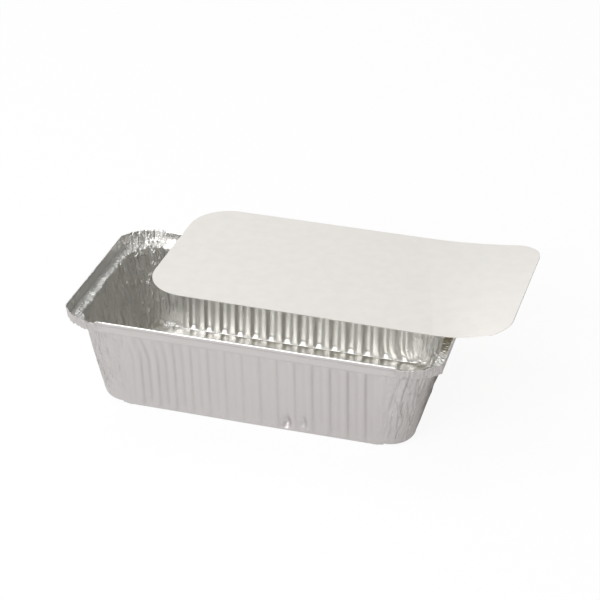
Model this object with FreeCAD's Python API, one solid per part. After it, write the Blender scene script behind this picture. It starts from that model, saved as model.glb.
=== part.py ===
import FreeCAD, Part
import math
import os

# A rectangular food container pressed from one sheet of thin aluminium foil, and its loose board lid.
# The origin is the middle of the tray's base on its underside, +X runs along the tray and +Z is up.
# All lengths are millimetres and all angles are degrees.

# Tray outline and depth
rim_length = 222.0
rim_width = 113.5
tray_height = 61.0
rim_height = 7.4
ledge_width = 6.6
rim_corner_radius = 27.0
rim_corner_kink = 34.0
rim_flare = 0.3

# Tray walls
end_draft = 9.2
side_draft = 3.5
wall_corner_radius = 16.5
base_corner_radius = 15.5
base_fillet = 5.0
ledge_bend = 0.9
foil = 0.1

# Folded hem along the four straight runs of the rim
hem_thickness = 0.8
hem_height = 2.3
hem_round = 0.35

# Flutes pressed into the two long walls: flat-bottomed grooves with sloping flanks between broad ribs
flute_count = 15
flute_pitch = 9.9
flute_depth = 1.8
flute_groove = 2.1
flute_flank = 1.5
flute_foot_turn = 35.0
flute_head = 4.0

# Gathers of spare foil at the corners and loose creases in the end walls
corner_pleats = 8
pleat_depth = 1.0
end_creases = 8
crease_depth = 0.7
ledge_wrinkle = 0.45
corner_edge_drop = 0.3
corner_flare = 2.3

# Board lid, cut to drop inside the standing rim, here laid off centre across it with one end curled up
lid_board = 0.5
lid_clearance = 0.6
lid_corner_radius = 25.0
raised_corner_front = 12.0
raised_corner_back = 17.0
lid_shift_x = 34.1
lid_shift_y = 37.8
lid_turn = -0.8
curl_start_front = 65.5
curl_start_back = 37.0
curl_radius_front = 95.0
curl_radius_back = 400.0

# Sizes that follow from the ones above
hem_face_x = rim_length / 2
hem_face_y = rim_width / 2
rim_x = hem_face_x - hem_thickness + foil
rim_y = hem_face_y - hem_thickness + foil
ledge_x = rim_x - rim_flare
ledge_y = rim_y - rim_flare
ledge_height = tray_height - rim_height
wall_x = ledge_x - ledge_width
wall_y = ledge_y - ledge_width
lid_length = 2 * (ledge_x - foil - lid_clearance)
lid_width = 2 * (ledge_y - foil - lid_clearance)


def wander(first, second=0):
    """A repeatable uneven number from -1 to 1, as foil never creases twice alike."""
    wave = math.sin(12.9898 * first + 78.233 * second + 4.1) * 43758.5453
    return 2 * (wave - math.floor(wave)) - 1


class Ring:
    """One level line round the foil: its half sizes, corner and height, and how deep each relief is there."""

    def __init__(self, half_x, half_y, corner, height, kink=0.0, relief=(0, 0, 0), wrinkle=0.0, inward=(1, 0)):
        self.half_x = half_x
        self.half_y = half_y
        self.corner = corner
        self.height = height
        self.kink = kink
        self.relief = dict(zip(("side", "end", "corner"), relief))
        self.wrinkle = wrinkle
        self.inward = inward

    def inner(self):
        """The same line on the upper face of the foil, one thickness away across the sheet."""
        side, up = self.inward
        step = foil * side
        corner = self.corner - step
        height = self.height + foil * up
        relief = self.relief.values()
        return Ring(self.half_x - step, self.half_y - step, corner, height, self.kink, relief, self.wrinkle)

    def straight_x(self):
        return self.half_x - self.corner * math.cos(math.radians(self.kink))

    def straight_y(self):
        return self.half_y - self.corner + self.corner * math.sin(math.radians(self.kink))


def base_ring(turn):
    """A ring on the rounded edge of the base, turn degrees round from the flat. The flutes run out on it."""
    out = base_fillet * math.sin(math.radians(turn))
    up = base_fillet * (1 - math.cos(math.radians(turn)))
    flute = max(0.0, turn - flute_foot_turn) / (90 - flute_foot_turn)
    return Ring(
        wall_x - end_draft - base_fillet + out,
        wall_y - side_draft - base_fillet + out,
        base_corner_radius - base_fillet + out,
        up,
        relief=(flute, 0.4 * turn / 90, 0.5 * turn / 90),
        inward=(math.sin(math.radians(turn)), math.cos(math.radians(turn))),
    )


def wall_ring(height, relief, inward=(1, 0)):
    """A ring on the drafted wall between the base edge and the ledge."""
    rise = (height - base_fillet) / (ledge_height - base_fillet)
    return Ring(
        wall_x - end_draft * (1 - rise),
        wall_y - side_draft * (1 - rise),
        base_corner_radius + (wall_corner_radius - base_corner_radius) * rise,
        height,
        relief=relief,
        inward=inward,
    )


def ledge_ring(out, wrinkle, inward=(0, 1)):
    """A ring on the flat ledge, out from the wall, where the corner opens from round to kinked."""
    share = out / ledge_width
    return Ring(
        wall_x + out,
        wall_y + out,
        wall_corner_radius + (rim_corner_radius - wall_corner_radius) * share,
        ledge_height,
        kink=rim_corner_kink * share,
        relief=(0, 0.3, 0.7),
        wrinkle=wrinkle,
        inward=inward,
    )


def rim_ring(out, height, gather):
    """A ring on the standing rim or its hem, out from the rim's outer face."""
    lean = rim_flare * (height - ledge_height) / rim_height
    return Ring(
        ledge_x + lean + out,
        ledge_y + lean + out,
        rim_corner_radius,
        height,
        kink=rim_corner_kink,
        relief=(0, 0.1, gather),
    )


class Column:
    """One line up the foil, on an end wall, a corner or a long wall."""

    def __init__(self, kind, place, sign_x, sign_y, index, bulge=0.0, hem=1.0):
        self.kind = kind
        self.place = place
        self.sign_x = sign_x
        self.sign_y = sign_y
        self.index = index
        self.bulge = bulge
        self.hem = hem

    def on(self, ring, level):
        """Where this column meets a ring, with the foil's outward direction there."""
        if self.kind == "side":
            reach = min(abs(self.place), ring.straight_x()) if self.hem else ring.straight_x()
            spot = (math.copysign(reach, self.place), self.sign_y * ring.half_y)
            return spot, (0.0, self.sign_y)
        if self.kind == "end":
            drift = 0.05 * wander(self.index, level) * (1 - abs(self.place))
            spot = (self.sign_x * ring.half_x, (self.place + drift) * ring.straight_y())
            return spot, (self.sign_x, 0.0)
        drift = 0.35 / (2 * corner_pleats) * wander(self.index, level)
        angle = math.radians(ring.kink + (90 - ring.kink) * (self.place + drift))
        out_x = self.sign_x * math.cos(angle)
        out_y = self.sign_y * math.sin(angle)
        centre_x = self.sign_x * ring.straight_x()
        centre_y = self.sign_y * (ring.half_y - ring.corner)
        return (centre_x + ring.corner * out_x, centre_y + ring.corner * out_y), (out_x, out_y)


def end_columns(sign_x, start):
    """Creases across an end wall, uneven in place and depth, in and out by turns."""
    count = 2 * end_creases
    columns = []
    for step in range(count):
        place = (step - (count - 1) / 2) / (count / 2)
        uneven = place + 0.35 / end_creases * wander(start + step, 7) * (0 < step < count - 1)
        swing = (-1) ** step * (0.55 + 0.45 * wander(start + step, 3))
        bulge = 0.5 * crease_depth * swing
        columns.append(Column("end", sign_x * uneven, sign_x, 0, start + step, bulge))
    return columns


def corner_columns(sign_x, sign_y, start):
    """Gathers round a corner, a ridge and a fold by turns, with no hem across them."""
    count = 2 * corner_pleats + 1
    columns = []
    for step in range(count):
        place = step / (count - 1)
        swing = (-1) ** step * (0.7 + 0.3 * wander(start + step, 5))
        bulge = 0.5 * pleat_depth * swing
        columns.append(Column("corner", place, sign_x, sign_y, start + step, bulge, hem=0.0))
    return columns if sign_x == sign_y else columns[::-1]


def side_columns(sign_y, start):
    """Flutes along a long wall: a flat-bottomed groove, a flank, a broad rib and a flank, over and over."""
    groove_edge = (flute_pitch - flute_groove) / 2
    rib_edge = groove_edge - flute_flank
    steps = ((-groove_edge, 0.0), (-rib_edge, 1.0), (rib_edge, 1.0), (groove_edge, 0.0))
    columns = []
    for flute in range(flute_count):
        middle = (flute - (flute_count - 1) / 2) * flute_pitch
        for step, (place, height) in enumerate(steps):
            index = start + 4 * flute + step
            shift = 0.03 * flute_pitch * wander(start + flute, 9)
            bulge = flute_depth * (height - 0.5)
            columns.append(Column("side", middle + place + shift, 0, sign_y, index, bulge))
    return columns if sign_y < 0 else columns[::-1]


def perimeter():
    """All columns, once round the tray counter-clockwise seen from above."""
    runs = (
        (end_columns, (1,)),
        (corner_columns, (1, 1)),
        (side_columns, (1,)),
        (corner_columns, (-1, 1)),
        (end_columns, (-1,)),
        (corner_columns, (-1, -1)),
        (side_columns, (-1,)),
        (corner_columns, (1, -1)),
    )
    columns = []
    for make, signs in runs:
        columns += make(*signs, len(columns))
    return columns


def foil_point(ring, level, column, hem_out=0.0, edge=0.0):
    """A point of the foil where a column crosses a ring, with its flute, crease, wrinkle, hem or flare."""
    (x, y), (out_x, out_y) = column.on(ring, level)
    out = ring.relief[column.kind] * column.bulge + (hem_out if column.hem else 0.0)
    height = ring.height
    if column.kind != "side":
        height += ring.wrinkle * ledge_wrinkle * wander(column.index, 11)
    if not column.hem:
        height -= edge * corner_edge_drop * (1 + wander(column.index, 13)) / 2
        out += corner_flare * column.place * max(0.0, ring.height - ledge_height) / rim_height
    return FreeCAD.Vector(x + out * out_x, y + out * out_y, height)


def tray_rings():
    """The lower face of the foil, from the flat of the base up the wall and over the ledge to the rim."""
    flute_high = ledge_height - flute_head
    rise = flute_high - base_fillet
    half_bend = math.tan(math.radians(22.5))
    return [
        base_ring(0),
        base_ring(flute_foot_turn),
        base_ring((flute_foot_turn + 90) / 2),
        base_ring(90),
        wall_ring(base_fillet + 0.3 * rise, (1, 0.8, 0.8)),
        wall_ring(base_fillet + 0.65 * rise, (1, 1, 0.9)),
        wall_ring(flute_high, (1, 0.9, 1)),
        wall_ring(ledge_height - ledge_bend, (0.25, 0.5, 0.8), inward=(1, half_bend)),
        ledge_ring(ledge_bend, 0.4, inward=(half_bend, 1)),
        ledge_ring(0.55 * ledge_width, 1.0),
        ledge_ring(ledge_width, 0.0, inward=(1, 1)),
    ]


def hem_rings():
    """The standing rim from its hem's lower lip, round the hem and back to the inner face."""
    fold = hem_thickness - foil
    lip = tray_height - hem_height
    shoulder = tray_height - hem_round
    return [
        (rim_ring(0, lip, 0.8), 0.0, 0.0),
        (rim_ring(0, lip + hem_round, 0.9), fold, 0.0),
        (rim_ring(0, shoulder, 1.0), fold, 1.0),
        (rim_ring(-foil / 2, tray_height, 1.0), fold / 2, 1.0),
        (rim_ring(-foil, shoulder, 1.0), 0.0, 1.0),
    ]


def foil_tray():
    """The pressed tray: one skin of flat facets from under the base, round the hem and back inside."""
    columns = perimeter()
    outside = tray_rings()
    loops = []
    for level, ring in enumerate(outside):
        loops.append([foil_point(ring, level, column) for column in columns])
    for step, (ring, hem_out, edge) in enumerate(hem_rings()):
        level = len(outside)
        loops.append([foil_point(ring, level, column, hem_out, edge) for column in columns])
    inside_from = len(loops)
    for level, ring in reversed(list(enumerate(outside))):
        loops.append([foil_point(ring.inner(), level, column) for column in columns])
    return faceted_solid(loops, inside_from)


def faceted_solid(loops, inside_from):
    """A solid whose skin joins each loop to the next by flat triangles and closes both ends with a fan.

    Inside, the loops come back down, so each facet pair is split along the same diagonal as the pair it backs.
    """
    around = len(loops[0])
    points = [point for loop in loops for point in loop]
    facets = []
    for band in range(len(loops) - 1):
        for step in range(around):
            here = band * around + step
            beside = band * around + (step + 1) % around
            if band < inside_from:
                facets.append((here, beside, beside + around))
                facets.append((here, beside + around, here + around))
            else:
                facets.append((here, beside, here + around))
                facets.append((beside, beside + around, here + around))
    for first, flip in ((0, True), ((len(loops) - 1) * around, False)):
        middle = len(points)
        points.append(sum(points[first : first + around], FreeCAD.Vector()) / around)
        for step in range(around):
            here, beside = first + step, first + (step + 1) % around
            facets.append((middle, beside, here) if flip else (middle, here, beside))
    skin = Part.Shape()
    skin.makeShapeFromMesh((points, facets), 1e-4, False)
    return Part.Solid(Part.makeShell(skin.Faces))


def curl_profile(start, radius, y):
    """The lid's edge-on section at one long edge: flat, then bent up along an arc to the raised end."""
    half = lid_length / 2
    turn = (half - start) / radius
    corners = []
    for level in (0, lid_board):
        bend = radius - level
        middle = FreeCAD.Vector(start + bend * math.sin(turn / 2), y, radius - bend * math.cos(turn / 2))
        tip = FreeCAD.Vector(start + bend * math.sin(turn), y, radius - bend * math.cos(turn))
        corners.append((FreeCAD.Vector(-half, y, level), FreeCAD.Vector(start, y, level), middle, tip))
    (low, low_start, low_mid, low_tip), (high, high_start, high_mid, high_tip) = corners
    return Part.Wire(
        [
            Part.makeLine(low, low_start),
            Part.Arc(low_start, low_mid, low_tip).toShape(),
            Part.makeLine(low_tip, high_tip),
            Part.Arc(high_tip, high_mid, high_start).toShape(),
            Part.makeLine(high_start, high),
            Part.makeLine(high, low),
        ]
    )


def lid_outline(front_tip, back_tip):
    """The lid's outline from above, with rounded corners, as an upright block that trims the board."""
    half = lid_length / 2
    edge = lid_width / 2
    corners = (
        (-half, -edge, lid_corner_radius),
        (front_tip, -edge, raised_corner_front),
        (back_tip, edge, raised_corner_back),
        (-half, edge, lid_corner_radius),
    )
    points = [FreeCAD.Vector(x, y, -lid_board) for x, y, _ in corners]
    block = Part.Face(Part.makePolygon(points + points[:1])).extrude(FreeCAD.Vector(0, 0, lid_length / 2))
    for x, y, radius in corners:
        corner = FreeCAD.Vector(x, y, 0)
        upright = min(block.Edges, key=lambda line: line.distToShape(Part.Vertex(corner))[0])
        block = block.makeFillet(radius, [upright])
    return block


def board_lid():
    """The lid: a curled board strip lofted from edge to edge, trimmed to a rounded outline and set down."""
    half = lid_length / 2
    edge = lid_width / 2
    front = curl_profile(curl_start_front, curl_radius_front, -edge)
    back = curl_profile(curl_start_back, curl_radius_back, edge)
    strip = Part.makeLoft([front, back], True, True)
    front_tip = curl_start_front + curl_radius_front * math.sin((half - curl_start_front) / curl_radius_front)
    back_tip = curl_start_back + curl_radius_back * math.sin((half - curl_start_back) / curl_radius_back)
    lid = strip.common(lid_outline(front_tip, back_tip)).Solids[0]
    lid.rotate(FreeCAD.Vector(), FreeCAD.Vector(0, 0, 1), lid_turn)
    lid.translate(FreeCAD.Vector(lid_shift_x, lid_shift_y, tray_height))
    return lid


os.makedirs("parts", exist_ok=True)
foil_tray().exportStep("parts/foil_tray.step")
board_lid().exportStep("parts/board_lid.step")
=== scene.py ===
import math
import random

import bpy
import numpy as np
from mathutils import Matrix, Vector


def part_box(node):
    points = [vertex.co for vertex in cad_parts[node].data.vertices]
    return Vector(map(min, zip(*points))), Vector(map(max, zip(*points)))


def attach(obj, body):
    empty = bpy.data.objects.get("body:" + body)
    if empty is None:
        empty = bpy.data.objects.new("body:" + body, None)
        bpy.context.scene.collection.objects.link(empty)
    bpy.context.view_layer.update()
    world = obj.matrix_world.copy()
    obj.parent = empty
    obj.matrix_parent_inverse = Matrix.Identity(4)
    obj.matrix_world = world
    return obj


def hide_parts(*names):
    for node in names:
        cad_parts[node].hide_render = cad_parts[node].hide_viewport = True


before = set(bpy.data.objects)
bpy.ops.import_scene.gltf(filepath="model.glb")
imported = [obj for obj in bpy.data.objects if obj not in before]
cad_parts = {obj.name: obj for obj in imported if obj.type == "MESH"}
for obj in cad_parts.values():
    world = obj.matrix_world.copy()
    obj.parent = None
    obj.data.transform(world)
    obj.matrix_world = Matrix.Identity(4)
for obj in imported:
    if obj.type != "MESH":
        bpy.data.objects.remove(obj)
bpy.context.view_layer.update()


# Foil tray
# One rectangle of soft aluminium foil, a tenth of a millimetre thick, drawn between a punch and a die. The
# punch presses flutes into the long walls, the spare foil at the corners gathers into fine pleats, and the
# four straight edges of the standing rim are folded outwards into a hem. Nothing is joined on.

MM = 0.001
rim_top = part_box("foil_tray")[1].z / MM

# Half sizes in plan, over the hems
hem_x = 110.9
hem_y = 56.65

# Sizes of the pressed form, from the rim down to the base
foil = 0.1
hem_thickness = 0.8
hem_height = 2.3
hem_shoulder = 0.4
rim_height = 7.4
rim_flare = 0.3
rim_radius = 27.0
rim_kink = 34.0
corner_flare = 2.2
ledge_width = 6.6
ledge_bend = 0.8
foot_bend = 0.6
wall_radius = 16.5
base_radius = 15.5
end_draft = 9.2
side_draft = 3.5
base_fillet = 5.0
flat_foot = 0.7

# The flutes of a long wall: narrow ribs, steep on one side and gentle on the other
flute_count = 14
flute_pitch = 10.2
flute_depth = 1.7
flute_rib = 2.2
flute_steep = 1.6
flute_gentle = 3.9

rim_x = hem_x - hem_thickness + foil
rim_y = hem_y - hem_thickness + foil
ledge_x = rim_x - rim_flare
ledge_y = rim_y - rim_flare
ledge_z = rim_top - rim_height
wall_x = ledge_x - ledge_width
wall_y = ledge_y - ledge_width
fluted_x = flute_count * flute_pitch / 2


def soft_step(low, high, value):
    """0 below low, 1 above high and a smooth rise between them."""
    share = np.clip((np.asarray(value, float) - low) / (high - low), 0.0, 1.0)
    return share * share * (3 - 2 * share)


# Kinds of wall that a line up the foil can lie in. A tail is the flat run between the flutes and a corner.
in_flutes, in_end, in_corner, in_tail = range(4)
end_columns = 120
corner_columns = 60
tail_columns = 10
# Places across one flute, close together on the flanks of its rib
rib_stations = (-5.1, -4.2, -3.4, -2.7, -2.1, -1.5, -0.9, 0.9, 1.5, 2.1, 2.7, 3.4, 4.2)


def foil_columns():
    """Lines up the foil, once round: kind of wall, place on it, signs of x and y, and 1 where hemmed."""
    columns = []
    ends = np.linspace(-1, 1, end_columns)
    turns = np.linspace(0, 1, corner_columns)
    middles = (np.arange(flute_count) - (flute_count - 1) / 2) * flute_pitch
    ribs = np.append((middles[:, None] + np.array(rib_stations)).ravel(), fluted_x)
    tails = np.linspace(0.08, 0.92, tail_columns)

    def end(sign):
        for place in ends[1:-1]:
            columns.append((in_end, sign * place, sign, 0, 1.0))

    def corner(sign_x, sign_y):
        places = turns if sign_x == sign_y else turns[::-1]
        for place in places:
            columns.append((in_corner, place, sign_x, sign_y, 0.0))

    def side(sign):
        run = [(in_tail, -place, -1, sign, 1.0) for place in tails[::-1]]
        run += [(in_flutes, place, 0, sign, 1.0) for place in ribs]
        run += [(in_tail, place, 1, sign, 1.0) for place in tails]
        columns.extend(run if sign < 0 else run[::-1])

    end(1)
    corner(1, 1)
    side(1)
    corner(-1, 1)
    end(-1)
    corner(-1, -1)
    side(-1)
    corner(1, -1)
    return np.array(columns, float)


columns = foil_columns()
kind, place, sign_x, sign_y, hemmed = columns.T
on_end = kind == in_end
on_corner = kind == in_corner
on_tail = kind == in_tail
on_side = (kind == in_flutes) | on_tail


def outline(half_x, half_y, radius, kink):
    """Plan place and outward direction of every column, on a rectangle with arcs that start at a kink."""
    kink = math.radians(kink)
    straight_x = half_x - radius * math.cos(kink)
    straight_y = half_y - radius + radius * math.sin(kink)
    angle = kink + (math.pi / 2 - kink) * place
    tail = np.sign(place) * (fluted_x + np.abs(place) * (straight_x - fluted_x))
    side_x = np.where(on_tail, tail, place)
    corner_x = sign_x * (straight_x + radius * np.cos(angle))
    x = np.where(on_end, sign_x * half_x, np.where(on_side, side_x, corner_x))
    corner_y = sign_y * (half_y - radius + radius * np.sin(angle))
    y = np.where(on_end, place * straight_y, np.where(on_side, sign_y * half_y, corner_y))
    out_x = np.where(on_end, sign_x, np.where(on_side, 0.0, sign_x * np.cos(angle)))
    out_y = np.where(on_end, 0.0, np.where(on_side, sign_y, sign_y * np.sin(angle)))
    return x, y, out_x, out_y


# Rows of points from the middle of the base to the hem's edge
base_rows = 5
bend_rows = 10
wall_rows = 17
shoulder_rows = 3
ledge_rows = 6
foot_rows = 2
rim_rows = 6
fold_rows = 4
# Last rows of the hem: shares of its depth and of its thickness
hem_edge = ((0.5, 1), (0.92, 1), (1.0, 0.5))


def foil_rows():
    """Rows from mid-base to hem: half sizes, corner radius, kink, height, fold and share of the plan."""
    rows = []
    base_x = wall_x - end_draft
    base_y = wall_y - side_draft
    flat_x = base_x - base_fillet
    flat_y = base_y - base_fillet
    flat_radius = base_radius - base_fillet
    for share in np.linspace(0.1, 0.93, base_rows):
        rows.append((flat_x, flat_y, flat_radius, 0, 0, 0, share))
    for turn in np.radians(np.linspace(0, 90, bend_rows)):
        out = base_fillet * math.sin(turn)
        up = base_fillet * (1 - math.cos(turn))
        rows.append((flat_x + out, flat_y + out, flat_radius + out, 0, up, 0, 1))
    for height in np.linspace(base_fillet, ledge_z - ledge_bend, wall_rows + 1)[1:]:
        rise = (height - base_fillet) / (ledge_z - base_fillet)
        radius = base_radius + (wall_radius - base_radius) * rise
        rows.append((base_x + end_draft * rise, base_y + side_draft * rise, radius, 0, height, 0, 1))
    for turn in np.radians(np.linspace(0, 90, shoulder_rows + 1)[1:]):
        out = ledge_bend * (1 - math.cos(turn))
        height = ledge_z - ledge_bend * (1 - math.sin(turn))
        rows.append((wall_x + out, wall_y + out, wall_radius + out, 0, height, 0, 1))
    for out in np.linspace(ledge_bend, ledge_width - foot_bend, ledge_rows + 1)[1:]:
        share = out / ledge_width
        radius = wall_radius + (rim_radius - wall_radius) * share
        rows.append((wall_x + out, wall_y + out, radius, rim_kink * share, ledge_z, 0, 1))
    for turn in np.radians(np.linspace(0, 90, foot_rows + 1)[1:]):
        out = ledge_width - foot_bend * (1 - math.sin(turn))
        height = ledge_z + foot_bend * (1 - math.cos(turn))
        rows.append((wall_x + out, wall_y + out, rim_radius, rim_kink, height, 0, 1))
    fold = (hem_thickness - foil) / 2
    for height in np.linspace(ledge_z + foot_bend, rim_top - fold, rim_rows + 1)[1:]:
        lean = rim_flare * (height - ledge_z) / rim_height
        rows.append((ledge_x + lean, ledge_y + lean, rim_radius, rim_kink, height, 0, 1))
    for turn in np.radians(np.linspace(0, 180, fold_rows + 1)[1:]):
        out = fold * (1 - math.cos(turn))
        height = rim_top - (fold if turn <= math.pi / 2 else hem_shoulder) * (1 - math.sin(turn))
        rows.append((rim_x, rim_y, rim_radius, rim_kink, height, out, 1))
    for drop, out in hem_edge:
        height = rim_top - hem_shoulder - drop * (hem_height - hem_shoulder)
        rows.append((rim_x, rim_y, rim_radius, rim_kink, height, 2 * fold * out, 1))
    return np.array(rows, float)


rows = foil_rows()
plan_share = rows[:, 6][:, None]
height = rows[:, 4][:, None] * np.ones(len(columns))
fold_out = rows[:, 5][:, None] * np.ones(len(columns))
x, y, out_x, out_y = (np.array(part) for part in zip(*(outline(*row[:4]) for row in rows)))
x = x * plan_share
y = y * plan_share

# Distances round the foil that pleats and creases are placed by
corner_arc = math.pi / 2 * wall_radius
tail_run = corner_arc + (1 - np.abs(place)) * (wall_x - wall_radius - fluted_x)
corner_run = np.where(on_tail, tail_run, place * corner_arc)
end_run = place * (wall_y - wall_radius)
draw = random.Random(11)


def crease(run, centre, width):
    """A sharp-backed fold across a run of foil: 1 on its line and 0 a width away."""
    return np.clip(1 - np.abs(run - centre) / width, 0, 1) ** 1.3


def waviness(run, level, size, seed):
    """A slow uneven swell over the sheet, from -1 to 1."""
    pick = random.Random(seed)
    total = np.zeros(np.broadcast(run, level).shape)
    swells = 7
    for _ in range(swells):
        angle = pick.uniform(0, math.pi)
        stretch = pick.uniform(0.6, 1.7)
        phase = pick.uniform(0, 2 * math.pi)
        way = run * math.cos(angle) + level * math.sin(angle)
        total += np.sin(2 * math.pi / size * stretch * way + phase)
    # Swells of different lengths seldom add up, and their sum hardly ever passes 4
    return np.clip(total / 4, -1, 1)


# The front wall's left ribs lean outwards at the top, and the back wall's right ribs hook at the foot
rib_lean = 5.0
rib_lean_reach = 22.0
rib_hook = 4.0
rib_hook_reach = 16.0


def flute_share():
    """1 on the narrow ribs of the long walls and 0 on the flats between. A rib is steep on one side only."""
    near_left = np.exp(-(((x + fluted_x) / rib_lean_reach) ** 2)) * (sign_y < 0)
    near_right = np.exp(-(((x - fluted_x) / rib_hook_reach) ** 2)) * (sign_y > 0)
    lean = -rib_lean * near_left * soft_step(ledge_z - 20, ledge_z, height)
    hook = rib_hook * near_right * (1 - soft_step(0, 9, height))
    along = (x - lean - hook) / flute_pitch + flute_count / 2
    number = np.floor(along)
    # No two ribs side by side are quite as wide
    uneven = np.sin(number * 12.9898 + sign_y * 4.7)
    across = -sign_y * (along - number - 0.5) * flute_pitch
    edge = flute_rib / 2 * (1 + 0.12 * uneven)
    steep_side = 1 - soft_step(-0.3, flute_steep + 0.3, across - edge)
    gentle_side = 1 - soft_step(-0.4, flute_gentle + 0.3, -across - edge)
    return steep_side * gentle_side


def quarters():
    """The columns of each quarter of the tray in turn, for what repeats at the four corners."""
    for quarter_x in (-1, 1):
        for quarter_y in (-1, 1):
            yield (sign_x == quarter_x) & (sign_y == quarter_y)


corner_pleats = 22
corner_creases = 9
# Pleats run on past the corner into the long wall's tail
pleat_overrun = 9
# Folds of the back corners: place round the corner, slant and the height where each starts
back_folds = ((4.0, 0.3, 4), (10.0, 0.34, 1), (16.5, 0.2, 3), (22.0, 0.1, 8))
back_fold_width = 2.4
back_fold_depth = 1.1


def corner_relief():
    """Pleats of gathered foil round each corner, sharp and uneven, and a few creases that wander and fork."""
    total = np.zeros(height.shape)
    share = soft_step(4, ledge_z, height)
    for quarter in quarters():
        here = (on_corner | on_tail) & quarter
        for step in range(corner_pleats):
            centre = (step + draw.uniform(0.1, 0.9)) / corner_pleats * (corner_arc + pleat_overrun)
            lean = draw.uniform(-0.14, 0.14)
            bow = draw.uniform(-1.8, 1.8)
            width = draw.uniform(0.6, 1.5)
            depth = draw.uniform(0.4, 1.15) * draw.choice((-1, 1, 1))
            foot = draw.uniform(-12, 26)
            line = centre + lean * (ledge_z - height) + bow * np.sin(math.pi * height / ledge_z)
            reach = soft_step(foot, foot + 14, height)
            total += here * depth * crease(corner_run, line, width) * reach * (0.45 + 0.75 * share)
        for _ in range(corner_creases):
            centre = draw.uniform(0.25, 1.3) * corner_arc
            swing = draw.uniform(1.0, 2.6)
            beat = draw.uniform(18, 34)
            phase = draw.uniform(0, 2 * math.pi)
            lean = draw.uniform(-0.25, 0.25)
            low = draw.uniform(1, 14)
            tall = draw.uniform(20, 38)
            line = centre + lean * (height - low) + swing * np.sin(2 * math.pi * height / beat + phase)
            reach = soft_step(low, low + 5, height) * (1 - soft_step(low + tall - 8, low + tall, height))
            depth = draw.uniform(0.5, 0.95)
            width = draw.uniform(0.6, 1.0)
            total -= here * depth * crease(corner_run, line, width) * reach
    total = np.clip(total, -0.75, 0.6)
    for centre, lean, low in back_folds:
        line = centre + lean * (height - low)
        fold = crease(corner_run, line, back_fold_width) * soft_step(low, low + 9, height)
        total += back_fold_depth * fold * on_corner * (sign_y > 0)
    return total


end_ridges = 64
end_dimples = 46
# Flecks that catch the light on the left end: place along it and height
left_flecks = (
    (-21, 44), (-10, 43), (0, 43.5), (10, 41), (15, 49), (20, 50), (32, 39), (31, 35), (19, 32), (34, 7)
)
fleck_depth = 1.5


def end_relief():
    """Slack foil in the end walls: bowed ridges, small upright dimples from the punch, and sharp flecks."""
    total = 0.35 * waviness(end_run, height, size=26.0, seed=5) * on_end
    for sign in (-1, 1):
        here = on_end & (sign_x == sign)
        for _ in range(end_ridges):
            centre = draw.uniform(-33, 33)
            lean = draw.uniform(-0.14, 0.14) - 0.004 * centre
            bow = draw.uniform(-1.5, 1.5)
            width = draw.uniform(0.8, 1.6)
            depth = draw.uniform(0.3, 1.0) * draw.choice((-1, 1))
            low = draw.uniform(0, 40)
            tall = draw.uniform(8, 40)
            line = centre + lean * (height - low) + bow * np.sin(math.pi * (height - low) / tall)
            fade = 1 - soft_step(low + tall * 0.6, low + tall, height)
            reach = soft_step(low, low + tall / 3, height) * fade
            total += here * depth * crease(end_run, line, width) * reach
        for _ in range(end_dimples):
            along = draw.uniform(-31, 31)
            up = draw.uniform(8, 48)
            spread = ((end_run - along) / 1.1) ** 2 + ((height - up) / 2.6) ** 2
            total -= here * draw.uniform(0.5, 1.0) * np.exp(-spread)
    for along, up in left_flecks:
        spread = ((end_run - along) / 0.9) ** 2 + ((height - up) / 2.4) ** 2
        total += fleck_depth * np.exp(-spread) * on_end * (sign_x < 0)
    return total


# Dents in the front wall: place along it, height, width, length up the wall and depth
dents = ((22.5, 5.5, 2.8, 3.6, 2.8), (32, 7.0, 2.3, 2.6, 2.0), (-76.4, 42, 0.9, 4.5, 1.5))


def knocks():
    """Dents from handling: two on the base edge of the front wall, and a pinched fold by its left corner."""
    total = np.zeros(height.shape)
    for along, up, wide, tall, deep in dents:
        spread = ((x - along) / wide) ** 2 + ((height - up) / tall) ** 2
        total -= deep * np.exp(-spread) * (sign_y < 0) * (y < 0)
    return total


rim_gathers = 26


def rim_relief():
    """The standing rim: flared and gathered at the bare corners, hardly rippled where the hem stiffens it."""
    gather = np.zeros(height.shape)
    for quarter in quarters():
        for step in range(rim_gathers):
            centre = (step + draw.uniform(0.1, 0.9)) / rim_gathers * corner_arc
            width = draw.uniform(0.5, 1.1)
            depth = draw.uniform(0.1, 0.45) * draw.choice((-1, 1))
            gather += (on_corner & quarter) * depth * crease(corner_run, centre, width)
    run = np.where(on_end, y, x)
    flare = corner_flare * place * on_corner * (height - ledge_z) / rim_height
    ripple = 0.12 * (1 + waviness(run, height, size=30.0, seed=8))
    return np.clip(gather, -0.6, 0.45) + flare - ripple * ~on_corner


def ledge_relief():
    """Up and down on the ledge: radial puckers at the corners and fine slanting wrinkles along the ends."""
    total = np.zeros(height.shape)
    out = np.hypot(x, y) - wall_x
    for quarter in quarters():
        for step in range(rim_gathers):
            centre = (step + draw.uniform(0.1, 0.9)) / rim_gathers * corner_arc
            slant = draw.uniform(-0.3, 0.3)
            width = draw.uniform(0.5, 1.3)
            depth = draw.uniform(0.15, 0.6) * draw.choice((-1, 1))
            total += (on_corner & quarter) * depth * crease(corner_run, centre + slant * out, width)
    wrinkle_pitch = 2.9
    wrinkle = (y + 0.9 * np.abs(x)) / wrinkle_pitch + 0.5 * waviness(x, y, size=25.0, seed=3)
    zigzag = np.abs(2 * (wrinkle - np.floor(wrinkle)) - 1)
    total += 0.3 * zigzag * (1 + waviness(x, y, size=16.0, seed=9)) * on_end
    return total + 0.05 * waviness(x, y, size=18.0, seed=4) * on_side


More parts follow.
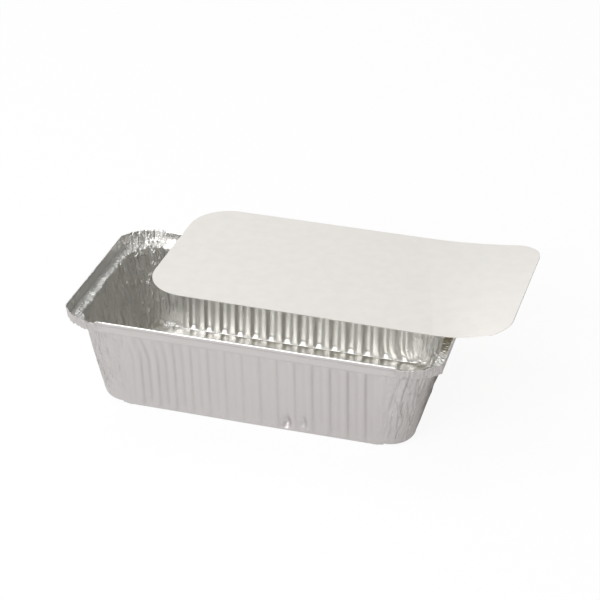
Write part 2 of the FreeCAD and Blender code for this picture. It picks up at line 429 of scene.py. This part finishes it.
level = np.arange(len(rows))[:, None] * np.ones(len(columns))
shoulder_start = base_rows + bend_rows + wall_rows
rim_start = shoulder_start + shoulder_rows + ledge_rows + foot_rows
below_ledge = level < shoulder_start + 2
on_wall = soft_step(0.6, base_fillet, height) * below_ledge
on_ledge = ((level > shoulder_start) & (level < rim_start)).astype(float)
on_rim = (level >= rim_start - 1).astype(float)
rim_share = soft_step(ledge_z + 0.2, ledge_z + 2.5, height) * on_rim

# Under the flutes the foil folds sharply onto the base, in place of the round bend of the corners and ends
fluted = (1 - soft_step(fluted_x - 1, fluted_x + 3, np.abs(x))) * on_side
creased = (1 - soft_step(fluted_x - 2, fluted_x + 14, np.abs(x))) * on_side
bend_turn = np.radians(np.linspace(0, 90, bend_rows))
fold_turn = np.radians((0, 30, 60, 90))
above = np.linspace(flat_foot, base_fillet, bend_rows - 3)[1:]
fold_over = np.append(base_fillet - flat_foot * (1 - np.sin(fold_turn)), above * 0 + base_fillet)
fold_up = np.append(flat_foot * (1 - np.cos(fold_turn)), above)
sharper_over = np.zeros((len(rows), 1))
sharper_up = np.zeros((len(rows), 1))
bend = slice(base_rows, base_rows + bend_rows)
sharper_over[bend, 0] = fold_over - base_fillet * np.sin(bend_turn)
sharper_up[bend, 0] = fold_up - base_fillet * (1 - np.cos(bend_turn))
height = height + sharper_up * creased

# Each rib ends in a rounded spoon at its foot, and fades into the ledge above
spoon = 3.6
rib = flute_share() * soft_step(0.1, spoon, height)
drawn = (1 - soft_step(ledge_z - 6, ledge_z - 0.8, height)) * (level >= base_rows) * below_ledge
# The front wall has been pressed a little flatter about its middle
drawn = drawn * (1 - 0.35 * np.exp(-(((x - 5) / 35) ** 2)) * (sign_y < 0))
out = (corner_relief() + end_relief()) * on_wall + flute_depth * (rib - 0.5) * drawn * fluted
out += knocks() * soft_step(0.3, 2.0, height) * below_ledge
out += sharper_over * creased
out += rim_relief() * rim_share
# The hem turns out by its own thickness, and the bare edge between hems by a share of that
bare_edge = 0.12
out = out + fold_out * np.where(hemmed > 0, 1.0, bare_edge)
x = x + out * out_x
y = y + out * out_y

# Bare corners have no fold: their cut edge stops a little short of the hem, unevenly
edge_drop = 0.25 + 0.2 * waviness(corner_run, 0 * corner_run, size=9.0, seed=21)
folded = rim_top - (rim_top - height) * np.where((fold_out > 0) & (hemmed == 0), 0.15, 1.0)
height = np.where(on_rim > 0, folded - rim_share * (1 - hemmed) * edge_drop, height)
height = height + ledge_relief() * on_ledge * soft_step(ledge_z - 0.6, ledge_z, height)

# The base is slack, and rises off the table by a few tenths between the places where it touches
slack = 0.5 * (1 + waviness(x, y, size=26.0, seed=31)) * (1 - soft_step(0.8, 1.0, plan_share))
height = np.maximum(height + 0.6 * slack * (level < base_rows), 0.0)


def sheet_mesh(name, across, along, up):
    """A sheet of four-sided faces round closed rows, in millimetres, with a fan over its first row."""
    count = across.shape[1]
    points = [Vector(point) * MM for point in zip(across.ravel(), along.ravel(), up.ravel())]
    faces = []
    for row in range(across.shape[0] - 1):
        for step in range(count):
            here = row * count + step
            beside = row * count + (step + 1) % count
            faces.append((here, beside, beside + count, here + count))
    points.append(Vector((0, 0, float(up[0].mean()) * MM)))
    for step in range(count):
        faces.append((len(points) - 1, (step + 1) % count, step))
    mesh = bpy.data.meshes.new(name)
    mesh.from_pydata(points, [], faces)
    mesh.shade_smooth()
    piece = bpy.data.objects.new(name, mesh)
    bpy.context.scene.collection.objects.link(piece)
    return piece


tray = sheet_mesh("foil_tray_skin", x, y, height)


def colour(hex_value):
    """An sRGB colour in hexadecimal digits, as linear values with full alpha."""
    parts = [int(hex_value[place : place + 2], 16) / 255 for place in (0, 2, 4)]
    return [part / 12.92 if part <= 0.04045 else ((part + 0.055) / 1.055) ** 2.4 for part in parts] + [1.0]


def add_node(tree, type_name, inputs=None, **settings):
    """Adds a node with its settings. Each input takes a value, or a link from an output."""
    node = tree.nodes.new(type_name)
    for key, value in settings.items():
        setattr(node, key, value)
    for key, value in (inputs or {}).items():
        if isinstance(value, bpy.types.NodeSocket):
            tree.links.new(value, node.inputs[key])
        else:
            node.inputs[key].default_value = value
    return node


def new_material(name):
    """An empty material and its node tree."""
    material = bpy.data.materials.new(name)
    material.use_nodes = True
    material.node_tree.nodes.clear()
    return material, material.node_tree


def pattern_scale(size):
    """The scale at which a texture has one feature to each size, in millimetres."""
    return 1 / (size * MM)


def rolled_foil(name, tone, roughness, grain_depth, calm, crinkled, slack_depth):
    """Soft rolled aluminium foil: fine rolling lines across the tray, slack swells and handling crinkles."""
    material, tree = new_material(name)
    spot = add_node(tree, "ShaderNodeTexCoord").outputs["Object"]
    # Rolling lines are microns apart, drawn here about 1 mm apart so that they show
    line_size = (pattern_scale(1.111), pattern_scale(25), pattern_scale(25))
    lines = add_node(tree, "ShaderNodeMapping", {"Vector": spot, "Scale": line_size})
    fine = {"Vector": lines.outputs["Vector"], "Scale": 1.0, "Detail": 3.0}
    grain = add_node(tree, "ShaderNodeTexNoise", fine)
    # Slack foil swells every 13 mm or so
    swelling = {"Vector": spot, "Scale": pattern_scale(13.333), "Detail": 1.0}
    swell = add_node(tree, "ShaderNodeTexNoise", swelling)
    slack = add_node(
        tree, "ShaderNodeBump", {"Strength": slack_depth, "Distance": MM, "Height": swell.outputs["Fac"]}
    )
    # Handling crinkles are about 2.4 mm across and 5.3 mm tall
    crinkle_size = (pattern_scale(2.381), pattern_scale(2.381), pattern_scale(5.263))
    upright = add_node(tree, "ShaderNodeMapping", {"Vector": spot, "Scale": crinkle_size})
    standing = {"Vector": upright.outputs["Vector"], "Scale": 1.0, "Detail": 3.0, "Roughness": 0.5}
    crinkle = add_node(tree, "ShaderNodeTexNoise", standing)
    # The punch irons them out of the long walls, which end where the flutes do
    along = add_node(tree, "ShaderNodeSeparateXYZ", {"Vector": spot}).outputs["X"]
    away = add_node(tree, "ShaderNodeMath", {0: along}, operation="ABSOLUTE").outputs["Value"]
    ironed = {"Value": away, "From Min": 70 * MM, "From Max": 92 * MM, "To Min": calm, "To Max": crinkled}
    kept = add_node(tree, "ShaderNodeMapRange", ironed)
    flecks = {"Value": crinkle.outputs["Fac"], "From Min": 0.5, "From Max": 0.74, "To Max": 0.6}
    raised = add_node(tree, "ShaderNodeMapRange", flecks)
    handled = add_node(
        tree,
        "ShaderNodeBump",
        {
            "Strength": kept.outputs["Result"],
            "Distance": MM,
            "Height": raised.outputs["Result"],
            "Normal": slack.outputs["Normal"],
        },
    )
    rolled = add_node(
        tree,
        "ShaderNodeBump",
        {
            "Strength": grain_depth,
            "Distance": 0.04 * MM,
            "Height": grain.outputs["Fac"],
            "Normal": handled.outputs["Normal"],
        },
    )
    # The sheen clouds over every 17 mm or so
    clouding = {"Vector": spot, "Scale": pattern_scale(16.667), "Detail": 2.0}
    cloud = add_node(tree, "ShaderNodeTexNoise", clouding)
    dull = add_node(
        tree,
        "ShaderNodeMapRange",
        {"Value": cloud.outputs["Fac"], "To Min": roughness * 0.8, "To Max": roughness * 1.25},
    )
    shader = add_node(
        tree,
        "ShaderNodeBsdfPrincipled",
        {
            "Base Color": colour(tone),
            "Metallic": 1.0,
            "Roughness": dull.outputs["Result"],
            "Normal": rolled.outputs["Normal"],
        },
    )
    add_node(tree, "ShaderNodeOutputMaterial", {"Surface": shader.outputs["BSDF"]})
    return material


# The face that met the rolls is bright and goes inside. The other face is satin and shows outside
satin = rolled_foil(
    "rolled_aluminium_foil_satin_face",
    "C8C4C3",
    roughness=0.44,
    grain_depth=0.8,
    calm=0.1,
    crinkled=0.9,
    slack_depth=0.2,
)
bright = rolled_foil(
    "rolled_aluminium_foil_bright_face",
    "EDECE9",
    roughness=0.38,
    grain_depth=0.6,
    calm=0.05,
    crinkled=1.4,
    slack_depth=0.15,
)
tray.data.materials.append(satin)
tray.data.materials.append(bright)
# The hem turns the inner face outwards, and the tool that irons it flat leaves it as dull as the satin face
tray.data.materials.append(satin)
hem_start = (len(rows) - len(hem_edge) - 1) * len(columns)
hem_end = len(rows) * len(columns)
for face in tray.data.polygons:
    if hem_start <= min(face.vertices) and max(face.vertices) < hem_end:
        face.material_index = 1
thickness = tray.modifiers.new("foil_thickness", "SOLIDIFY")
thickness.thickness = foil * MM
thickness.offset = -1.0
thickness.material_offset = 1
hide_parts("foil_tray")
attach(tray, "root")


# Board lid
# A rectangle of half-millimetre white board, die-cut with rounded corners to drop inside the tray's rim.
# It lies loose across the rim. It has a smooth clay-coated face, and its free end has taken a curl.

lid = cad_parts["board_lid"]


def coated_board(name):
    """Clay-coated white board: matt and warm on top, faintly cloudy, with bare creamy stock beneath."""
    material, tree = new_material(name)
    spot = add_node(tree, "ShaderNodeTexCoord")
    # The stock lies in clouds about 7 mm across
    clouded = {"Vector": spot.outputs["Object"], "Scale": pattern_scale(6.667), "Detail": 3.0}
    cloud = add_node(tree, "ShaderNodeTexNoise", clouded)
    tone = add_node(tree, "ShaderNodeValToRGB", {"Fac": cloud.outputs["Fac"]})
    tone.color_ramp.elements[0].position = 0.35
    tone.color_ramp.elements[0].color = colour("E6E3DE")
    tone.color_ramp.elements[1].position = 0.65
    tone.color_ramp.elements[1].color = colour("E9E6E1")
    # The coat is on the upper face only, so the stock shows wherever the sheet faces down
    faces = add_node(tree, "ShaderNodeSeparateXYZ", {"Vector": spot.outputs["Normal"]})
    bare = {"Value": faces.outputs["Z"], "From Min": -0.3, "From Max": -0.6}
    under = add_node(tree, "ShaderNodeMapRange", bare)
    # The colour mixer names its inputs alike for every data type: 6 and 7 are its two colours
    both = {0: under.outputs["Result"], 6: tone.outputs["Color"], 7: colour("E5DBBD")}
    sides = add_node(tree, "ShaderNodeMix", both, data_type="RGBA")
    # Wood fibres are about 0.03 mm thick, drawn here at 0.8 mm so that they show
    fibrous = {"Vector": spot.outputs["Object"], "Scale": pattern_scale(0.8333), "Detail": 4.0}
    fibre = add_node(tree, "ShaderNodeTexNoise", fibrous)
    felted = {"Strength": 0.15, "Distance": 0.1 * MM, "Height": fibre.outputs["Fac"]}
    bump = add_node(tree, "ShaderNodeBump", felted)
    shader = add_node(
        tree,
        "ShaderNodeBsdfPrincipled",
        {
            "Base Color": sides.outputs[2],
            "Roughness": 0.7,
            "IOR": 1.5,
            "Normal": bump.outputs["Normal"],
        },
    )
    add_node(tree, "ShaderNodeOutputMaterial", {"Surface": shader.outputs["BSDF"]})
    return material


lid.data.materials.clear()
lid.data.materials.append(coated_board("clay_coated_white_board"))


# Floor and light
# A plain pale floor that runs out of view, with a painted pool of light that only reflections see, a soft
# overcast dome and two broad soft lamps. The first lamp
#  stands low in front, so that it reaches under the lid and brightens the foot of the front wall.

floor_reach = 12.0
ways = ((-1, -1), (1, -1), (1, 1), (-1, 1))
floor_corners = [(floor_reach * way_x, floor_reach * way_y, 0) for way_x, way_y in ways]
floor_mesh = bpy.data.meshes.new("floor")
floor_mesh.from_pydata(floor_corners, [], [(0, 1, 2, 3)])
floor = bpy.data.objects.new("floor", floor_mesh)
bpy.context.scene.collection.objects.link(floor)
material, tree = new_material("pale_floor")
shader = add_node(tree, "ShaderNodeBsdfPrincipled", {"Base Color": colour("FDFDFD"), "Roughness": 0.9})
shown = add_node(tree, "ShaderNodeEmission", {"Color": (1, 1, 1, 1), "Strength": 1.0})
rays = add_node(tree, "ShaderNodeLightPath")
# Shares of plain white in the floor, as the camera sees it and as it shows through anything clear
camera_white = 0.92
through_white = 0.72
on_camera = {0: rays.outputs["Is Camera Ray"], 1: camera_white}
through = {0: rays.outputs["Is Transmission Ray"], 1: through_white}
# Foil sees a painted pool of light on the floor, brightest in front of the tray's left half: white emission
# that fades with distance from one point, not light from a lamp. Sizes are in metres
pool_shift = (0.048, 0.105, 0.0)
pool_squeeze = (0.8, 1.5, 1.0)
floor_spot = add_node(tree, "ShaderNodeTexCoord").outputs["Object"]
shaped = {"Vector": floor_spot, "Location": pool_shift, "Scale": pool_squeeze}
from_pool = add_node(tree, "ShaderNodeMapping", shaped).outputs["Vector"]
apart = add_node(tree, "ShaderNodeVectorMath", {0: from_pool}, operation="LENGTH").outputs["Value"]
pool = {"Value": apart, "From Min": 0.02, "From Max": 0.17, "To Min": 0.95, "To Max": 0.0}
painted_pool_light = add_node(tree, "ShaderNodeMapRange", pool).outputs["Result"]
# Painted light: glossy rays see the floor whitened by the painted pool
in_foil = {0: rays.outputs["Is Glossy Ray"], 1: painted_pool_light}
whitened = add_node(tree, "ShaderNodeMath", on_camera, operation="MULTIPLY").outputs["Value"]
for part in (in_foil, through):
    share = add_node(tree, "ShaderNodeMath", part, operation="MULTIPLY").outputs["Value"]
    whitened = add_node(tree, "ShaderNodeMath", {0: whitened, 1: share}, operation="ADD").outputs["Value"]
mix = add_node(
    tree,
    "ShaderNodeMixShader",
    {0: whitened, 1: shader.outputs["BSDF"], 2: shown.outputs["Emission"]},
)
add_node(tree, "ShaderNodeOutputMaterial", {"Surface": mix.outputs["Shader"]})
floor.data.materials.append(material)

world = bpy.data.worlds.new("studio")
bpy.context.scene.world = world
world.use_nodes = True
world.node_tree.nodes.clear()
sky = add_node(world.node_tree, "ShaderNodeTexCoord").outputs["Generated"]
# The dome is white up to the left, and falls to a warm grey on the other side
brightest = (-0.72, -0.15, 0.67)
toward = {0: sky, 1: brightest}
facing = add_node(world.node_tree, "ShaderNodeVectorMath", toward, operation="DOT_PRODUCT")
faced = {"Value": facing.outputs["Value"], "From Min": -1.0, "From Max": 1.0}
side = add_node(world.node_tree, "ShaderNodeMapRange", faced)
shade = add_node(world.node_tree, "ShaderNodeValToRGB", {"Fac": side.outputs["Result"]})
shade.color_ramp.elements[0].position = 0.3
shade.color_ramp.elements[0].color = colour("55534E")
shade.color_ramp.elements[1].position = 0.92
shade.color_ramp.elements[1].color = colour("FFFFFF")
dome = add_node(world.node_tree, "ShaderNodeBackground", {"Color": shade.outputs["Color"], "Strength": 0.7})
add_node(world.node_tree, "ShaderNodeOutputWorld", {"Surface": dome.outputs["Background"]})


def soft_lamp(name, place_at, size, power):
    """A rectangular lamp in metres and watts, turned towards the middle of the tray."""
    aim = Vector((0, 0, 0.03))
    lamp = bpy.data.lights.new(name, "AREA")
    lamp.shape = "RECTANGLE"
    lamp.size, lamp.size_y = size
    lamp.energy = power
    holder = bpy.data.objects.new(name, lamp)
    holder.location = place_at
    holder.rotation_euler = (aim - Vector(place_at)).to_track_quat("-Z", "Y").to_euler()
    bpy.context.scene.collection.objects.link(holder)


soft_lamp("key_softbox", (-0.45, -1.25, 0.95), (1.3, 0.9), 17.0)
soft_lamp("top_softbox", (-0.65, 0.5, 1.25), (0.7, 0.7), 5.0)


# Camera
# Placed by a pinhole fit to the tray's and the lid's outlines, which gave its direction, its distance in
# millimetres, the point that it looks at and its focal length in pixels.

azimuth = math.radians(16.114)
elevation = math.radians(30.357)
roll = math.radians(0.047)
distance = 982.6
aim_right = 16.07
aim_up = 49.72
focal_pixels = 1643.0
image_pixels = 600
away = math.cos(elevation)
back = Vector((math.sin(azimuth) * away, -math.cos(azimuth) * away, math.sin(elevation)))
level_right = Vector((math.cos(azimuth), math.sin(azimuth), 0))
level_up = back.cross(level_right)
right = level_right * math.cos(roll) + level_up * math.sin(roll)
up = level_up * math.cos(roll) - level_right * math.sin(roll)
view = bpy.data.cameras.new("camera")
view.sensor_width = 36.0
view.lens = focal_pixels / image_pixels * view.sensor_width
view.clip_start = 0.01
view.clip_end = 100.0
camera = bpy.data.objects.new("camera", view)
axes = Matrix((right, up, back)).transposed().to_4x4()
camera.matrix_world = Matrix.Translation((back * distance + right * aim_right + up * aim_up) * MM) @ axes
bpy.context.scene.collection.objects.link(camera)
bpy.context.scene.camera = camera
bpy.context.scene.view_settings.view_transform = "Standard"
